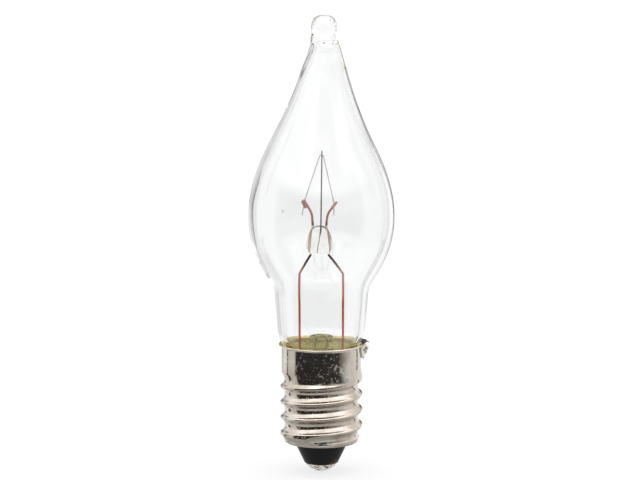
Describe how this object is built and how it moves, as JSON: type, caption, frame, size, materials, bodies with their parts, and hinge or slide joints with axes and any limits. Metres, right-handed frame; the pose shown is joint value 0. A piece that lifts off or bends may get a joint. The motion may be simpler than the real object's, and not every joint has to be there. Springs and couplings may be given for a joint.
{
  "type": "candle bulb",
  "caption": "Clear glass candle bulb with a flame-shaped drawn tip, a tall coiled filament on hooked copper leads, and a small nickel-plated screw cap.",
  "frame": {"origin": "tip of the centre contact, on the axis of the cap", "axes": "+Z along the axis from the contact to the flame tip; +X towards the side solder at the rim, with the lead wires and the filament in the XZ plane"},
  "size_m": [0.0168, 0.0168, 0.0531],
  "materials": {
    "clear_glass": "clear, blown",
    "bead_glass": "clear, melted",
    "nickel_plate": "dull bright nickel on brass",
    "black_vitrite": "glossy black",
    "copper_lead": "copper-clad, oxidised",
    "tungsten_coil": "fine coil",
    "support_metal": "dark drawn wire",
    "solder": "dull tin-lead",
    "eyelet_brass": "plain",
    "cement": "matt"
  },
  "bodies": {
    "root": {"glass_envelope": "clear_glass", "exhaust_tube": "clear_glass", "mount_bead": "bead_glass", "lead_wire_left": "copper_lead", "lead_wire_right": "copper_lead", "support_wire": "support_metal", "filament": "tungsten_coil", "screw_shell": "nickel_plate", "insulator": "black_vitrite", "contact_eyelet": "eyelet_brass", "tip_solder": "solder", "side_solder": "solder", "basing_cement": "cement"}
  },
  "joints": []
}
